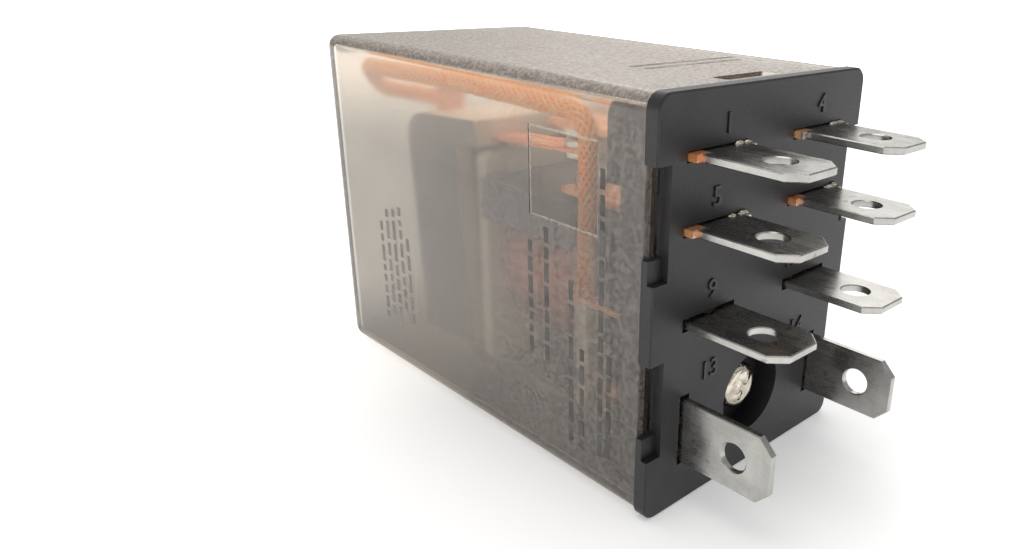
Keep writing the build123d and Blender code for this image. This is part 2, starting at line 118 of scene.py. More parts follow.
def noiseValue(tree, position, scale, detail=3.0, rough=0.5, stretch=(1, 1, 1)):
    source = position
    if stretch != (1, 1, 1):
        mapping = addNode(tree, "ShaderNodeMapping")
        mapping.inputs["Scale"].default_value = stretch
        tree.links.new(position, mapping.inputs["Vector"])
        source = mapping.outputs[0]
    tex = addNode(tree, "ShaderNodeTexNoise")
    tex.inputs["Scale"].default_value = scale
    tex.inputs["Detail"].default_value = detail
    tex.inputs["Roughness"].default_value = rough
    tree.links.new(source, tex.inputs["Vector"])
    return tex.outputs["Fac"]


def rangeValue(tree, value, fromLow, fromHigh, toLow, toHigh):
    node = addNode(tree, "ShaderNodeMapRange")
    for i, number in enumerate((fromLow, fromHigh, toLow, toHigh)):
        node.inputs[i + 1].default_value = number
    tree.links.new(value, node.inputs[0])
    return node.outputs[0]


def mixColor(tree, fac, a, b):
    node = addNode(tree, "ShaderNodeMix", data_type="RGBA")
    for socket, value in ((node.inputs[0], fac), (node.inputs[6], a), (node.inputs[7], b)):
        if isinstance(value, (int, float)):
            socket.default_value = value
        elif isinstance(value, (tuple, list)):
            socket.default_value = (*value, 1.0) if len(value) == 3 else value
        else:
            tree.links.new(value, socket)
    return node.outputs[2]


def blendedValue(tree, first, second, share):
    part = mathNode(tree, "MULTIPLY", first, share)
    rest = mathNode(tree, "MULTIPLY", second, 1 - share)
    return mathNode(tree, "ADD", part, rest)


def bumpNormal(tree, height, strength, distance):
    node = addNode(tree, "ShaderNodeBump")
    node.inputs["Strength"].default_value = strength
    node.inputs["Distance"].default_value = distance
    tree.links.new(height, node.inputs["Height"])
    return node.outputs[0]


def assign(name, mat):
    mesh = nodes[name].data
    mesh.materials.clear()
    mesh.materials.append(mat)


# surface finishes

# moulded plastic: base colour, how far it varies, grain of the mould and its roughness
def plasticMaterial(name, look):
    mat, tree, out = newMaterial(name)
    pos = objectPosition(tree)
    broad = noiseValue(tree, pos, look["patch"])
    fine = noiseValue(tree, pos, look["grain"], detail=4.0, rough=0.6)
    shader = addNode(tree, "ShaderNodeBsdfPrincipled")
    color = mixColor(tree, rangeValue(tree, broad, *wideSwing, 0, 1), look["dark"], look["light"])
    tree.links.new(color, shader.inputs["Base Color"])
    rough = rangeValue(tree, fine, *wideSwing, look["roughLow"], look["roughHigh"])
    tree.links.new(rough, shader.inputs["Roughness"])
    tree.links.new(bumpNormal(tree, fine, look["bump"], depth["plastic"]), shader.inputs["Normal"])
    if look.get("glow"):
        shader.inputs["Subsurface Weight"].default_value = look["glow"]
        shader.inputs["Subsurface Radius"].default_value = look["scatter"]
        shader.inputs["Subsurface Scale"].default_value = 1.0
    tree.links.new(shader.outputs[0], out.inputs[0])
    return mat


# metal: rolling lines run along one axis, with dull patches between them
def metalMaterial(name, look):
    mat, tree, out = newMaterial(name)
    pos = objectPosition(tree)
    lines = noiseValue(tree, pos, look["lines"], rough=0.6, stretch=look["along"])
    patch = noiseValue(tree, pos, look["patch"], detail=4.0, rough=0.6)
    shader = addNode(tree, "ShaderNodeBsdfPrincipled")
    shader.inputs["Metallic"].default_value = look.get("metal", 1.0)
    color = mixColor(tree, rangeValue(tree, patch, *narrowSwing, 0, 1), look["dark"], look["light"])
    tree.links.new(color, shader.inputs["Base Color"])
    mixed = blendedValue(tree, lines, patch, look["lineShare"])
    rough = rangeValue(tree, mixed, *narrowSwing, look["roughLow"], look["roughHigh"])
    tree.links.new(rough, shader.inputs["Roughness"])
    tree.links.new(bumpNormal(tree, lines, look["bump"], depth["metal"]), shader.inputs["Normal"])
    tree.links.new(shader.outputs[0], out.inputs[0])
    return mat


def complement(tree, value):
    return mathNode(tree, "SUBTRACT", 1.0, value)


# one where a value lies between two limits, nought outside
def between(tree, value, low, high):
    above = mathNode(tree, "GREATER_THAN", value, low)
    below = mathNode(tree, "LESS_THAN", value, high)
    return mathNode(tree, "MULTIPLY", above, below)


# tinned blade: bare copper inside the case and on the nibs of the upper rows, tin further out
def bladeMaterial(name, look):
    mat, tree, out = newMaterial(name)
    pos = objectPosition(tree)
    x, y, z = axisValues(tree, pos)
    lines = noiseValue(tree, pos, look["lines"], rough=0.6, stretch=look["along"])
    patch = noiseValue(tree, pos, look["patch"], detail=4.0, rough=0.65)
    spots = noiseValue(tree, pos, look["spots"], detail=2.0)
    tin = mixColor(tree, rangeValue(tree, patch, *look["tinSwing"], 0, 1), look["tinDark"], look["tinLight"])
    stainFac = rangeValue(tree, spots, *look["stainSwing"], 0, look["stainShare"])
    tin = mixColor(tree, stainFac, tin, look["stain"])
    copperFac = rangeValue(tree, patch, *look["copperSwing"], 0, 1)
    copper = mixColor(tree, copperFac, look["copperDark"], look["copperLight"])
    # wavy border of the tin: everything inside the case is bare
    wave = mathNode(tree, "MULTIPLY", mathNode(tree, "SUBTRACT", patch, 0.5), look["borderWave"])
    nibs = mathNode(tree, "ADD", mathNode(tree, "GREATER_THAN", x, look["nibRight"]),
                    between(tree, x, look["nibLeft"], 0.0))
    nibs = mathNode(tree, "MULTIPLY", nibs, mathNode(tree, "GREATER_THAN", z, look["nibAbove"]))
    reach = mathNode(tree, "MULTIPLY", nibs, look["nibLength"])
    edge = mathNode(tree, "SUBTRACT", mathNode(tree, "ADD", y, wave), reach)
    bare = rangeValue(tree, edge, look["border"] - look["borderSoft"], look["border"], 1, 0)
    color = mixColor(tree, bare, tin, copper)
    shader = addNode(tree, "ShaderNodeBsdfPrincipled")
    tree.links.new(rangeValue(tree, bare, 0, 1, 1.0, look["copperMetal"]), shader.inputs["Metallic"])
    tree.links.new(color, shader.inputs["Base Color"])
    mixed = blendedValue(tree, lines, patch, look["lineShare"])
    rough = rangeValue(tree, mixed, *narrowSwing, look["roughLow"], look["roughHigh"])
    tree.links.new(rough, shader.inputs["Roughness"])
    tree.links.new(bumpNormal(tree, mixed, look["bump"], depth["blade"]), shader.inputs["Normal"])
    tree.links.new(shader.outputs[0], out.inputs[0])
    return mat


# moulding whose rounded edges and narrow sides get a paler colour than its wide sides: a painted highlight,
# chosen by the direction each face points
def paintedEdgeLightMaterial(name, look):
    mat = plasticMaterial(name, look)
    tree = mat.node_tree
    shader = next(n for n in tree.nodes if n.type == "BSDF_PRINCIPLED")
    plain = shader.inputs["Base Color"].links[0].from_socket
    geometry = addNode(tree, "ShaderNodeNewGeometry")
    side = mathNode(tree, "ABSOLUTE", axisValues(tree, geometry.outputs["Normal"])[0])
    # painted highlight: faces turned away from X take the paler edge colour
    color = mixColor(tree, rangeValue(tree, side, *look["paintedHighlightTurn"], 1, 0), plain, look["edge"])
    tree.links.new(color, shader.inputs["Base Color"])
    return mat


# frosted cover: rough outside, polished inside and in the two panes; light passes through to the inside
coverLook = {
    "tintLight": (0.575, 0.545, 0.49),
    "tintDark": (0.49, 0.46, 0.415),
    # painted light: a paler tint towards the upper edge, over this height range
    "paintedLightTint": (0.84, 0.77, 0.69),
    "paintedLightFrom": 5.5 * mm,
    "paintedLightTo": 11.0 * mm,
    # painted shade: a darker tint towards the bottom, over this height range
    "paintedShadeTint": 0.55,
    "paintedShadeFrom": -13.4 * mm,
    "paintedShadeTo": -8.0 * mm,
    "veilDark": (0.40, 0.355, 0.315),
    "veilLight": (0.68, 0.61, 0.54),
    "veilShare": 0.145,
    "topVeil": 0.44,
    "speckle": 0.05,
    "paneVeil": 0.11,
    "rim": 0.16 * mm,
    "rimVeil": 0.45,
    "roughFrost": 0.185,
    "frostShares": (0.88, 1.12),
    "roughPolish": 0.03,
    "roughVeil": 0.42,
    "index": 1.5,
    "grainSwing": (0.36, 0.64),
    "facingUp": (0.3, 0.95),
    "innerHalfX": 10.1 * mm,
    "innerHalfZ": 13.35 * mm,
    "innerEnd": -38.55 * mm,
    "paneY": (-11.6 * mm, -4.9 * mm),
    "paneZ": (4.5 * mm, 10.6 * mm),
    "shadowTint": (0.97, 0.95, 0.92, 1.0),
    "grain": 3800.0,
    "patch": 160.0,
}


# the polished pane's rectangle, drawn in by an inset on all four sides
def paneArea(tree, y, z, look, inset):
    (lowY, highY), (lowZ, highZ) = look["paneY"], look["paneZ"]
    alongY = between(tree, y, lowY + inset, highY - inset)
    alongZ = between(tree, z, lowZ + inset, highZ - inset)
    return mathNode(tree, "MULTIPLY", alongY, alongZ)


def coverMaterial(look):
    mat, tree, out = newMaterial("frostedCover")
    pos = objectPosition(tree)
    x, y, z = axisValues(tree, pos)
    insideX = between(tree, x, -look["innerHalfX"], look["innerHalfX"])
    insideZ = between(tree, z, -look["innerHalfZ"], look["innerHalfZ"])
    insideY = mathNode(tree, "GREATER_THAN", y, look["innerEnd"])
    inside = mathNode(tree, "MULTIPLY", mathNode(tree, "MULTIPLY", insideX, insideZ), insideY)
    pane = paneArea(tree, y, z, look, 0.0)
    polished = mathNode(tree, "MAXIMUM", inside, pane)
    patch = noiseValue(tree, pos, look["patch"], detail=4.0, rough=0.55)
    grain = noiseValue(tree, pos, look["grain"], detail=2.0)
    tint = mixColor(tree, rangeValue(tree, patch, *wideSwing, 0, 1), look["tintDark"], look["tintLight"])
    # painted light makes the shell's tint paler near its upper edge, and painted shade darkens it towards the
    # bottom
    tint = mixColor(tree, rangeValue(tree, z, look["paintedLightFrom"], look["paintedLightTo"], 0, 1), tint, look["paintedLightTint"])
    paintedShadeFac = rangeValue(tree, z, look["paintedShadeFrom"], look["paintedShadeTo"], 1, 0)
    tint = mixColor(tree, paintedShadeFac, tint, tuple(c * look["paintedShadeTint"] for c in look["tintDark"]))
    frostLow, frostHigh = (look["roughFrost"] * share for share in look["frostShares"])
    frost = rangeValue(tree, patch, *wideSwing, frostLow, frostHigh)
    rough = addNode(tree, "ShaderNodeMix", data_type="FLOAT")
    tree.links.new(polished, rough.inputs[0])
    tree.links.new(frost, rough.inputs[2])
    rough.inputs[3].default_value = look["roughPolish"]
    glass = addNode(tree, "ShaderNodeBsdfPrincipled")
    glass.inputs["Transmission Weight"].default_value = 1.0
    glass.inputs["IOR"].default_value = look["index"]
    tree.links.new(tint, glass.inputs["Base Color"])
    tree.links.new(rough.outputs[0], glass.inputs["Roughness"])
    veil = addNode(tree, "ShaderNodeBsdfPrincipled")
    speckleFac = rangeValue(tree, grain, *look["grainSwing"], 0, 1)
    speckle = mixColor(tree, speckleFac, look["veilDark"], look["veilLight"])
    tree.links.new(speckle, veil.inputs["Base Color"])
    veil.inputs["Roughness"].default_value = look["roughVeil"]
    frosted = complement(tree, polished)
    paneOnly = mathNode(tree, "MULTIPLY", pane, complement(tree, inside))
    # the frost is thicker on the upper side
    geometry = addNode(tree, "ShaderNodeNewGeometry")
    facing = axisValues(tree, geometry.outputs["Normal"])[2]
    sideShare, topShare = look["veilShare"], look["veilShare"] + look["topVeil"]
    upper = rangeValue(tree, facing, *look["facingUp"], sideShare, topShare)
    flecks = rangeValue(tree, grain, *look["grainSwing"], -look["speckle"], look["speckle"])
    frostShare = mathNode(tree, "MULTIPLY", frosted, mathNode(tree, "ADD", upper, flecks))
    share = mathNode(tree, "ADD", frostShare, mathNode(tree, "MULTIPLY", paneOnly, look["paneVeil"]))
    middle = paneArea(tree, y, z, look, look["rim"])
    rimOnly = mathNode(tree, "MULTIPLY", paneOnly, complement(tree, middle))
    share = mathNode(tree, "ADD", share, mathNode(tree, "MULTIPLY", rimOnly, look["rimVeil"]))
    body = addNode(tree, "ShaderNodeMixShader")
    tree.links.new(share, body.inputs[0])
    tree.links.new(glass.outputs[0], body.inputs[1])
    tree.links.new(veil.outputs[0], body.inputs[2])
    clear = addNode(tree, "ShaderNodeBsdfTransparent")
    clear.inputs[0].default_value = look["shadowTint"]
    path = addNode(tree, "ShaderNodeLightPath")
    final = addNode(tree, "ShaderNodeMixShader")
    tree.links.new(path.outputs["Is Shadow Ray"], final.inputs[0])
    tree.links.new(body.outputs[0], final.inputs[1])
    tree.links.new(clear.outputs[0], final.inputs[2])
    tree.links.new(final.outputs[0], out.inputs[0])
    return mat


baseLook = {"dark": (0.011, 0.010, 0.012), "light": (0.021, 0.020, 0.023), "patch": 220.0, "grain": 6500.0,
            "roughLow": 0.36, "roughHigh": 0.52, "bump": 0.35}
creamLook = {"dark": (0.82, 0.76, 0.63), "light": (0.92, 0.87, 0.76), "patch": 180.0, "grain": 5000.0,
             "roughLow": 0.40, "roughHigh": 0.55, "bump": 0.2, "glow": 0.2,
             "scatter": (1.2 * mm, 1.0 * mm, 0.7 * mm)}
darkLook = {"dark": (0.13, 0.125, 0.12), "light": (0.19, 0.18, 0.17), "patch": 200.0, "grain": 5500.0,
            "roughLow": 0.40, "roughHigh": 0.55, "bump": 0.3}
carrierLook = {**darkLook, "dark": (0.20, 0.185, 0.175), "light": (0.29, 0.27, 0.25),
               # the edge colour is a painted highlight on the rounded edges and narrow sides
               "edge": (0.86, 0.74, 0.62), "paintedHighlightTurn": (0.55, 0.98)}
digitLook = {"dark": (0.020, 0.019, 0.022), "light": (0.034, 0.033, 0.036), "patch": 300.0, "grain": 6500.0,
             "roughLow": 0.30, "roughHigh": 0.42, "bump": 0.2}
bladeLook = {
    "tinDark": (0.40, 0.39, 0.365), "tinLight": (0.56, 0.55, 0.52), "stain": (0.24, 0.215, 0.18),
    "copperDark": (0.78, 0.30, 0.12), "copperLight": (1.0, 0.55, 0.28),
    "tinSwing": (0.35, 0.68), "stainSwing": (0.66, 0.74), "stainShare": 0.6, "copperSwing": (0.4, 0.6),
    "lines": 2600.0, "along": (1, 0.08, 1), "lineShare": 0.5, "patch": 420.0, "spots": 900.0,
    "copperMetal": 0.45, "border": -0.1 * mm, "borderSoft": 0.35 * mm, "borderWave": 1.6 * mm,
    "nibRight": 6.9 * mm, "nibLeft": -3.8 * mm, "nibAbove": 3 * mm, "nibLength": 0.95 * mm,
    "roughLow": 0.22, "roughHigh": 0.34, "bump": 0.10,
}
steelLook = {"dark": (0.46, 0.45, 0.42), "light": (0.64, 0.63, 0.60), "lines": 2400.0, "along": (1, 0.1, 1),
             "lineShare": 0.6, "patch": 350.0, "roughLow": 0.26, "roughHigh": 0.46, "bump": 0.3}
ironLook = {**steelLook, "dark": (0.42, 0.42, 0.41), "light": (0.58, 0.58, 0.57)}
springLook = {**steelLook, "dark": (0.52, 0.51, 0.48), "light": (0.68, 0.67, 0.64),
              "roughLow": 0.18, "roughHigh": 0.3}
armLook = {**steelLook, "metal": 0.4, "dark": (0.98, 0.34, 0.14), "light": (1.0, 0.52, 0.30),
           "roughLow": 0.18, "roughHigh": 0.34}
silverLook = {**steelLook, "dark": (0.74, 0.72, 0.68), "light": (0.90, 0.88, 0.84),
              "roughLow": 0.16, "roughHigh": 0.3}
solderLook = {**steelLook, "dark": (0.50, 0.45, 0.37), "light": (0.82, 0.76, 0.65),
              "patch": 1400.0, "along": (1, 1, 1), "roughLow": 0.10, "roughHigh": 0.28, "bump": 0.5}
braidLook = {**steelLook, "metal": 0.0, "dark": (1.0, 0.36, 0.06), "light": (1.0, 0.55, 0.17),
             "patch": 900.0, "roughLow": 0.26, "roughHigh": 0.42, "bump": 0.2}
windingLook = {**steelLook, "metal": 0.6, "dark": (0.52, 0.19, 0.11), "light": (0.74, 0.34, 0.22),
               "patch": 500.0, "roughLow": 0.2, "roughHigh": 0.34, "bump": 0.15}

baseMat = plasticMaterial("blackMoulding", baseLook)
creamMat = plasticMaterial("creamMoulding", creamLook)
darkMat = plasticMaterial("darkMoulding", darkLook)
carrierMat = paintedEdgeLightMaterial("carrierMouldingPaintedHighlight", carrierLook)
digitMat = plasticMaterial("digitMoulding", digitLook)
bladeMat = bladeMaterial("tinnedBlade", bladeLook)
steelMat = metalMaterial("zincSteel", steelLook)
ironMat = metalMaterial("softIron", ironLook)
springMat = metalMaterial("springSteel", springLook)
armMat = metalMaterial("springCopper", armLook)
silverMat = metalMaterial("silverContact", silverLook)
solderMat = metalMaterial("solderTin", solderLook)
braidMat = metalMaterial("bareBraid", braidLook)
windingMat = metalMaterial("enamelWire", windingLook)
coverMat = coverMaterial(coverLook)

finishes = {
    "cover": coverMat, "base": baseMat, "bobbin": creamMat, "contact_carrier": carrierMat,
    "contact_barrier": darkMat, "armature": steelMat, "yoke": steelMat, "core": ironMat,
    "pole_shoe": ironMat, "hinge_spring": springMat,
    "hinge_spring_rivets": springMat, "base_rivet": solderMat, "coil_winding": windingMat,
}
for name in nodes:
    if name.startswith("terminal_"):
        finishes[name] = bladeMat
    elif name.startswith("moving_arm"):
        finishes[name] = armMat
    elif name.startswith("braid"):
        finishes[name] = braidMat
    elif name.startswith("coil_lead"):
        finishes[name] = windingMat
    elif name not in finishes:
        finishes[name] = silverMat
for name, mat in finishes.items():
    assign(name, mat)
print("materials on", len(finishes), "nodes")


# pieces in place of plain solids

def meshObject(name, bm, mat, smooth=True):
    mesh = bpy.data.meshes.new(name)
    bm.to_mesh(mesh)
    bm.free()
    mesh.materials.append(mat)
    if smooth:
        mesh.polygons.foreach_set("use_smooth", [True] * len(mesh.polygons))
    obj = bpy.data.objects.new(name, mesh)
    scene.collection.objects.link(obj)
    return obj


# a direction that no wire here runs along, to start the sideways frame of a tube
upHint = Vector((0.31, 0.17, 0.93)).normalized()


# each point with a sideways and an up direction, carried along the points without twist
def carriedFrame(points):
    last = len(points) - 1
    up = upHint.copy()
    for i, point in enumerate(points):
        ahead = (points[min(i + 1, last)] - points[max(i - 1, 0)]).normalized()
        sideways = ahead.cross(up).normalized()
        up = sideways.cross(ahead).normalized()
        yield point, sideways, up


def aroundPoint(point, sideways, up, turn, radius):
    return point + (sideways * math.cos(turn) + up * math.sin(turn)) * radius


# wall of four-sided faces between two rings of vertices
def wallInto(bm, near, far):
    sides = len(near)
    for k in range(sides):
        after = (k + 1) % sides
        bm.faces.new((near[k], near[after], far[after], far[k]))


# closed tube of a few sides along a list of points
def tubeInto(bm, points, radius, sides):
    rings = []
    for point, sideways, up in carriedFrame(points):
        turns = [2 * math.pi * k / sides for k in range(sides)]
        rings.append([bm.verts.new(aroundPoint(point, sideways, up, turn, radius)) for turn in turns])
    for near, far in zip(rings, rings[1:]):
        wallInto(bm, near, far)
    bm.faces.new(list(reversed(rings[0])))
    bm.faces.new(rings[-1])


# fewest parts of an arc, and the shortest last step kept, as a share of a whole one
pathRule = {"fewestParts": 3, "lastShare": 0.3}


# even points along straight runs whose corners are rounded by tangent arcs
def roundedPath(corners, radii, step):
    points = [corners[0]]
    for i in range(1, len(corners) - 1):
        before = (corners[i - 1] - corners[i]).normalized()
        after = (corners[i + 1] - corners[i]).normalized()
        angle = before.angle(after)
        radius = radii[i - 1]
        cut = radius / math.tan(angle / 2)
        start, end = corners[i] + before * cut, corners[i] + after * cut
        centre = corners[i] + (before + after).normalized() * (radius / math.sin(angle / 2))
        a, b = start - centre, end - centre
        sweep = a.angle(b)
        parts = max(pathRule["fewestParts"], int(sweep * radius / step))
        for k in range(parts + 1):
            t = k / parts
            arc = a * math.sin((1 - t) * sweep) + b * math.sin(t * sweep)
            points.append(centre + arc / math.sin(sweep))
    points.append(corners[-1])
    even, carry = [points[0]], 0.0
    for a, b in zip(points, points[1:]):
        length = (b - a).length
        at = step - carry
        while at <= length:
            even.append(a.lerp(b, at / length))
            at += step
        carry = (carry + length) % step
    if (even[-1] - points[-1]).length > step * pathRule["lastShare"]:
        even.append(points[-1])
    return even


braid = {
    "radius": 0.72 * mm,
    "strandRadius": 0.125 * mm,
    "strands": 9,
    "coreInset": 2.6,
    "coreSides": 8,
    "strandSides": 5,
    "weave": (1.5, 0.35),
    "pitch": 6.0 * mm,
    "step": 0.22 * mm,
    "bendRadii": [1.6 * mm, 8.0 * mm, 0.9 * mm, 0.9 * mm],
    "startX": 8.75 * mm, "startY": -7.4 * mm, "startZ": -0.4 * mm,
    "level": 11.7 * mm,
    "mid": (8.5 * mm, -20.5 * mm, 11.8 * mm),
    "far": (7.9 * mm, -35.7 * mm, 11.4 * mm),
    "back": (6.6 * mm, -35.5 * mm),
    "tabX": 5.33 * mm, "tabReach": 0.25 * mm,
    "bendFrom": -0.024, "bendTo": -0.0285,
}


def makeBraid(word, side):
    r = braid["radius"]
    end = braidEnd[word]
    corners = [
        Vector((side * braid["startX"], braid["startY"], braid["startZ"])),
        Vector((side * braid["startX"], braid["startY"], braid["level"])),
        Vector((side * braid["mid"][0], braid["mid"][1], braid["mid"][2])),
        Vector((side * braid["far"][0], braid["far"][1], braid["far"][2])),
        Vector((side * braid["back"][0], braid["back"][1], end.z)),
        end,
    ]
    path = roundedPath(corners, braid["bendRadii"], braid["step"])
    bm = bmesh.new()
    tubeInto(bm, path, r - braid["coreInset"] * braid["strandRadius"], braid["coreSides"])
    # woven strands: half of them turn each way, dipping over and under where they cross
    inset, swing = braid["weave"]
    for hand in (1, -1):
        for s in range(braid["strands"]):
            strand = []
            for i, (point, sideways, up) in enumerate(carriedFrame(path)):
                turn = hand * (2 * math.pi * i * braid["step"] / braid["pitch"])
                turn += 2 * math.pi * s / braid["strands"]
                dip = math.cos(turn * braid["strands"] / 2) * swing * hand
                out = r - (inset - dip) * braid["strandRadius"]
                strand.append(aroundPoint(point, sideways, up, turn, out))
            # every second point is enough for a strand, with the last one kept
            last = [strand[-1]] if len(path) % 2 == 0 else []
            tubeInto(bm, strand[::2] + last, braid["strandRadius"], braid["strandSides"])
    obj = meshObject("wovenBraid_" + word, bm, braidMat)
    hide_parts("braid_" + word)
    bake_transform(obj)


# the braid ends on the arm's tab: read its place from the solid's vertices nearest the middle plane
braidEnd = {}
for word, side in (("right", 1), ("left", -1)):
    found = [v.co for v in nodes["braid_" + word].data.vertices]
    nearest = min(abs(c.x) for c in found)
    tip = [c for c in found if abs(c.x) < nearest + braid["tabReach"]]
    centre = sum(tip, Vector()) / len(tip)
    braidEnd[word] = Vector((side * braid["tabX"], centre.y, centre.z))
    makeBraid(word, side)
print("braids woven")


# winding: one layer of visible turns on a solid roll
winding = {
    "wire": 0.17 * mm, "sides": 6, "aroundStep": 40, "gap": 1.02,
    "rollSides": 72, "rollInset": 1.3, "rollEnd": 0.02 * mm, "wobble": 0.012 * mm,
    "wobblePitch": 3.1, "wobbleRow": (0.4, 0.7),
}


def makeWinding():
    low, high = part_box("coil_winding")
    centreX, centreZ = (low.x + high.x) / 2, (low.z + high.z) / 2
    outer = (high.x - low.x) / 2
    wire = winding["wire"]
    bm = bmesh.new()
    roll = outer - wire * winding["rollInset"]
    sides = winding["rollSides"]
    rollRings = []
    for y in (low.y + winding["rollEnd"], high.y - winding["rollEnd"]):
        ring = []
        for k in range(sides):
            turn = 2 * math.pi * k / sides
            ring.append(bm.verts.new((centreX + roll * math.cos(turn), y, centreZ + roll * math.sin(turn))))
        rollRings.append(ring)
    wallInto(bm, *rollRings)
    pitch = 2 * wire * winding["gap"]
    turns = int((high.y - low.y - 2 * wire) / pitch)
    points = []
    for i in range(turns * winding["aroundStep"]):
        t = i / winding["aroundStep"]
        wobble = winding["wobble"] * noise.noise(Vector((t * winding["wobblePitch"], *winding["wobbleRow"])))
        radius = outer - wire + min(0.0, wobble)
        turn = 2 * math.pi * t
        points.append(Vector((
            centreX + radius * math.cos(turn), low.y + wire + pitch * t, centreZ + radius * math.sin(turn))))
    tubeInto(bm, points, wire, winding["sides"])
    obj = meshObject("woundCoil", bm, windingMat)
    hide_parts("coil_winding")
    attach(obj, "case")


makeWinding()
print("coil wound")


# solder and moulded figures on the terminal face

# rounded lump with broad and fine unevenness
lump = {"broad": 2.1, "fine": 5.3, "fineShare": 0.4, "seedX": 3.7, "seedY": 1.3}


def lumpy(bm, centre, size, seed, subdivisions, rough):
    made = bmesh.ops.create_icosphere(bm, subdivisions=subdivisions, radius=1.0)
    for v in made["verts"]:
        start = Vector((seed * lump["seedX"], seed * lump["seedY"], 0))
        shift = 1 + rough * noise.noise(v.co * lump["broad"] + start)
        shift += rough * lump["fineShare"] * noise.noise(v.co * lump["fine"] + Vector((seed, 0, seed)))
        p = v.co * shift
        v.co = Vector((centre[0] + p.x * size[0], centre[1] + p.y * size[1], centre[2] + p.z * size[2]))


# each lump in millimetres: place across, below the head's top and up; size; then seed, smoothness, roughness
rivetHead = [
    ((0, 0.55, 0), (1.55, 0.589, 1.6275), 2.0, 4, 0.30),
    ((-0.35, 0.2, 0.75), (0.75, 0.40, 0.8), 5.0, 3, 0.2),
    ((0.4, 0.25, -0.6), (0.65, 0.36, 0.6), 8.0, 3, 0.25),
]


def makeRivetHead():
    low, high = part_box("base_rivet")
    centreX, centreZ = (low.x + high.x) / 2, (low.z + high.z) / 2
    bm = bmesh.new()
    for (x, down, z), size, seed, subdivisions, rough in rivetHead:
        centre = (centreX + x * mm, high.y - down * mm, centreZ + z * mm)
        lumpy(bm, centre, [part * mm for part in size], seed, subdivisions, rough)
    obj = meshObject("rivetSolder", bm, solderMat)
    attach(obj, "case")


makeRivetHead()

rootSolder = {
    "size": (0.50 * mm, 0.28 * mm, 0.24 * mm), "beads": 2, "start": 0.2, "apart": (0.6, 0.5),
    "out": 0.08 * mm, "up": 0.24 * mm, "least": 0.7, "swing": 0.5, "smoothness": 2, "rough": 0.3,
}


def makeRootSolder():
    bm = bmesh.new()
    for name in ("terminal_1_nc", "terminal_4_nc", "terminal_5_no", "terminal_8_no"):
        low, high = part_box(name)
        z = (low.z + high.z) / 2
        apart, extra = rootSolder["apart"]
        least, swing = rootSolder["least"], rootSolder["swing"]
        for k in range(rootSolder["beads"]):
            spot = random.random()
            size = [s * (least + swing * random.random()) for s in rootSolder["size"]]
            x = low.x + (rootSolder["start"] + (apart + extra * spot) * k) * mm
            centre = (x, rootSolder["out"], z + rootSolder["up"])
            lumpy(bm, centre, size, 10 * spot + k, rootSolder["smoothness"], rootSolder["rough"])
    obj = meshObject("rootSolder", bm, solderMat)
    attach(obj, "case")


makeRootSolder()

# terminal numbers, plain moulded figures; place of each figure's middle in X and Z, in millimetres
figures = {
    "size": 1.8225 * mm, "raised": 0.09 * mm, "softEdge": 0.02 * mm, "curveSteps": 4,
    "places": {
        "1": (4.6, 11.7), "4": (-5.45, 11.9), "5": (5.3, 7.3), "8": (-4.6, 7.3),
        "9": (5.2, 1.2), "12": (-3.6, 1.2), "13": (5.0, -4.6), "14": (-5.0, -4.6),
    },
}


def makeFigure(text, x, z):
    curve = bpy.data.curves.new("figure_" + text, "FONT")
    curve.body = text
    curve.align_x = "CENTER"
    curve.align_y = "CENTER"
    curve.size = figures["size"]
    curve.extrude = figures["raised"] / 2
    curve.bevel_depth = figures["softEdge"]
    curve.resolution_u = figures["curveSteps"]
    obj = bpy.data.objects.new("figure_" + text, curve)
    scene.collection.objects.link(obj)
    # the figures' right points to -X and their top to +Z, seen from +Y
    middle = figures["raised"] / 2
    obj.matrix_world = Matrix(((-1, 0, 0, x * mm), (0, 0, 1, middle), (0, 1, 0, z * mm), (0, 0, 0, 1)))
    curve.materials.append(digitMat)
    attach(obj, "case")


for text, (x, z) in figures["places"].items():
    makeFigure(text, x, z)
print("terminal face finished")


# plain printed lines on the cover: thin bars of uneven length, no letters
printMarks = {
    "line": 0.42 * mm, "lift": 0.012 * mm, "shortest": 0.5 * mm, "longest": 1.7 * mm, "gap": 0.34 * mm,
    "draft": math.tan(math.radians(0.3)), "mouth": -1.0 * mm, "thickness": 0.8,
    # in millimetres: place along Y, then from and to along Z, on the wide side
    "wide": [(-11.6, -5.6, 3.0), (-9.9, -5.8, 4.0), (-7.4, -11.0, 1.8),
             (-6.3, -11.2, -3.6), (-4.5, -11.0, 9.4), (-3.7, -10.8, -2.8)],
    "faint": [(-31.6, -9.6, -0.6), (-30.6, -9.2, 0.4), (-29.6, -9.6, 0.6),
              (-28.6, -8.0, 1.0), (-27.6, -9.0, -1.0)],
    # place along Y, then from and to along X, on the upper narrow side
    "narrow": [(-9.6, -7.6, 3.4), (-8.3, -6.8, 3.8)],
}
inkLook = {"dark": (0.05, 0.046, 0.042), "light": (0.12, 0.112, 0.105), "patch": 700.0, "grain": 7000.0,
           "roughLow": 0.45, "roughHigh": 0.6, "bump": 0.1}
faintLook = {**inkLook, "dark": (0.15, 0.14, 0.13), "light": (0.24, 0.225, 0.21)}
inkMat = plasticMaterial("printInk", inkLook)
faintMat = plasticMaterial("wornInk", faintLook)


def barRow(bm, look, along, start, end, place):
    half = look["line"] / 2
    reach = look["longest"] - look["shortest"]
    at = start * mm
    while at < end * mm - look["shortest"]:
        length = look["shortest"] + random.random() * reach
        stop = min(at + length, end * mm)
        outline = ((-half, at), (half, at), (half, stop), (-half, stop))
        corners = [place(along * mm + across, t) for across, t in outline]
        bm.faces.new([bm.verts.new(c) for c in corners])
        at = stop + look["gap"]


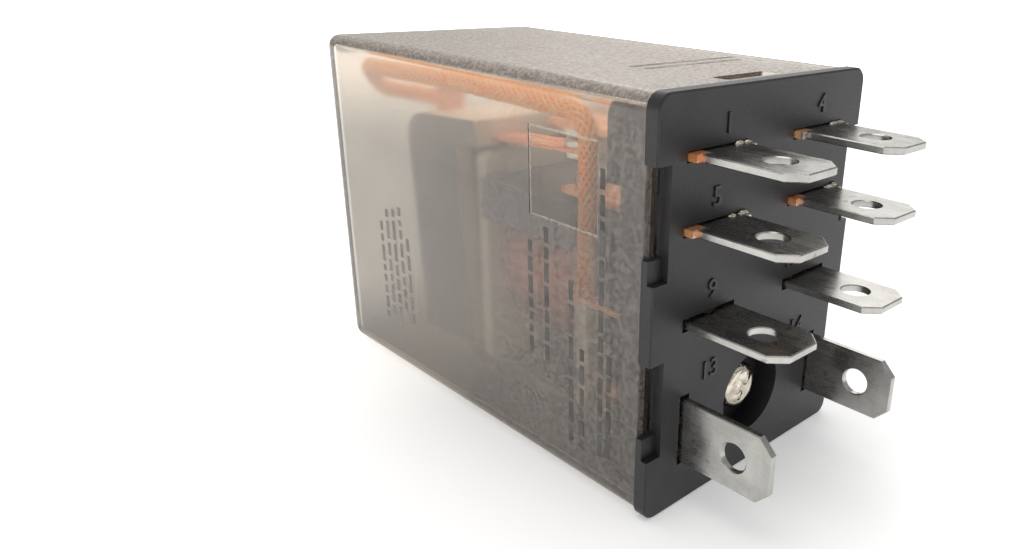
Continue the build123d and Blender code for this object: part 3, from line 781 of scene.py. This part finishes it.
def makePrint(name, rows, face, mat, look):
    low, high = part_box("cover")

    def onWide(y, t):
        return (high.x - (look["mouth"] - y) * look["draft"] + look["lift"], y, t)

    def onNarrow(y, t):
        return (t, y, high.z - (look["mouth"] - y) * look["draft"] + look["lift"])

    bm = bmesh.new()
    for along, start, end in rows:
        barRow(bm, look, along, start, end, onWide if face == "wide" else onNarrow)
    bmesh.ops.recalc_face_normals(bm, faces=bm.faces)
    obj = meshObject(name, bm, mat, smooth=False)
    solid = obj.modifiers.new("thickness", "SOLIDIFY")
    solid.thickness = look["lift"] * look["thickness"]
    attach(obj, "case")


makePrint("printedLines", printMarks["wide"], "wide", inkMat, printMarks)
makePrint("wornLines", printMarks["faint"], "wide", faintMat, printMarks)
makePrint("topLines", printMarks["narrow"], "narrow", faintMat, printMarks)
print("printed lines added")


# camera; angles in degrees
cameraLook = {
    "azimuth": 132.283, "elevation": 21.176, "roll": 2.348,
    "place": (44.02 * mm, 30.78 * mm, 21.14 * mm), "lens": 29.376, "sensor": 36,
    "shiftX": -0.1446, "shiftY": 0.0006, "clip": (0.001, 20),
}


def makeCamera(look):
    a, e, r = (math.radians(look[k]) for k in ("azimuth", "elevation", "roll"))
    back = Vector((math.sin(a) * math.cos(e), -math.cos(a) * math.cos(e), math.sin(e)))
    right = Vector((math.cos(a), math.sin(a), 0))
    up = back.cross(right)
    xAxis = right * math.cos(r) + up * math.sin(r)
    yAxis = up * math.cos(r) - right * math.sin(r)
    data = bpy.data.cameras.new("camera")
    data.sensor_width = look["sensor"]
    data.lens = look["lens"]
    data.shift_x, data.shift_y = look["shiftX"], look["shiftY"]
    data.clip_start, data.clip_end = look["clip"]
    cam = bpy.data.objects.new("camera", data)
    scene.collection.objects.link(cam)
    m = Matrix((xAxis, yAxis, back)).transposed().to_4x4()
    m.translation = Vector(look["place"])
    cam.matrix_world = m
    scene.camera = cam


makeCamera(cameraLook)

floorLook = {
    "size": 1.5, "cells": 24, "below": 0.02 * mm, "color": (0.90, 0.90, 0.90), "mottle": 0.985, "patch": 30.0,
    # the weakest glow level, within the first radius pair, is a painted shadow under the relay
    "roughness": 0.8, "paintedShadowGlow": 0.26, "glow": 0.52, "glowFar": 1.2,
    "paintedShadowRadius": (0.012, 0.045), "farRadius": (0.12, 0.35),
}


def makeFloor(look):
    middle = (cadBox[0] + cadBox[1]) / 2
    bm = bmesh.new()
    cells = look["cells"]
    grid = bmesh.ops.create_grid(bm, x_segments=cells, y_segments=cells, size=look["size"])
    for v in grid["verts"]:
        v.co.z = cadBox[0].z - look["below"]
    mat, tree, out = newMaterial("paleFloor")
    pos = objectPosition(tree)
    soft = noiseValue(tree, pos, look["patch"])
    shader = addNode(tree, "ShaderNodeBsdfPrincipled")
    duller = tuple(c * look["mottle"] for c in look["color"])
    color = mixColor(tree, rangeValue(tree, soft, *wideSwing, 0, 1), duller, look["color"])
    tree.links.new(color, shader.inputs["Base Color"])
    shader.inputs["Roughness"].default_value = look["roughness"]
    shader.inputs["Specular IOR Level"].default_value = 0.0
    shader.inputs["Emission Color"].default_value = (1, 1, 1, 1)
    # painted shadow: the floor glows dimmer under the relay; it glows brighter far off so the horizon stays
    # white
    reach = addNode(tree, "ShaderNodeVectorMath", operation="LENGTH")
    shift = addNode(tree, "ShaderNodeVectorMath", operation="ADD")
    tree.links.new(pos, shift.inputs[0])
    shift.inputs[1].default_value = (0, -middle.y, -cadBox[0].z)
    tree.links.new(shift.outputs[0], reach.inputs[0])
    distance = reach.outputs["Value"]
    glowWithPaintedShadow = rangeValue(tree, distance, *look["paintedShadowRadius"], look["paintedShadowGlow"], look["glow"])
    farGlow = rangeValue(tree, distance, *look["farRadius"], 0, look["glowFar"] - look["glow"])
    tree.links.new(mathNode(tree, "ADD", glowWithPaintedShadow, farGlow), shader.inputs["Emission Strength"])
    tree.links.new(shader.outputs[0], out.inputs[0])
    obj = meshObject("floor", bm, mat)


makeFloor(floorLook)

# soft boxes: place, aim and size in metres, power in watts
lights = {
    "top": {
        "place": (0.02, -0.05, 0.35), "aim": (0, -0.015, 0), "size": (0.36, 0.30), "power": 0.60,
        "color": (1.0, 0.98, 0.95),
    },
    "side": {
        "place": (0.34, 0.02, 0.16), "aim": (0, -0.015, 0), "size": (0.26, 0.22), "power": 0.14,
        "color": (1.0, 0.97, 0.93),
    },
    "back": {
        "place": (-0.22, -0.16, 0.18), "aim": (0, -0.015, 0), "size": (0.22, 0.20), "power": 0.22,
        "color": (1.0, 0.98, 0.96),
    },
    "face": {
        "place": (-0.10, 0.32, 0.12), "aim": (0, 0, 0), "size": (0.16, 0.22), "power": 0.03,
        "color": (0.97, 0.98, 1.0),
    },
}
for name, look in lights.items():
    data = bpy.data.lights.new(name, "AREA")
    data.shape = "RECTANGLE"
    data.size, data.size_y = look["size"]
    data.energy = look["power"]
    data.color = look["color"]
    lamp = bpy.data.objects.new(name, data)
    scene.collection.objects.link(lamp)
    lamp.location = look["place"]
    lamp.rotation_mode = "QUATERNION"
    lamp.rotation_quaternion = (Vector(look["aim"]) - Vector(look["place"])).to_track_quat("-Z", "Y")

studio = {"color": (0.95, 0.96, 0.97, 1), "glow": 0.45, "seen": 1.05}
world = bpy.data.worlds.new("studio")
scene.world = world
world.use_nodes = True
sky = world.node_tree
background = sky.nodes["Background"]
background.inputs[0].default_value = studio["color"]
direct = addNode(sky, "ShaderNodeLightPath").outputs["Is Camera Ray"]
sky.links.new(rangeValue(sky, direct, 0, 1, studio["glow"], studio["seen"]), background.inputs[1])
scene.view_settings.view_transform = "Standard"
print("camera, floor and lights placed")
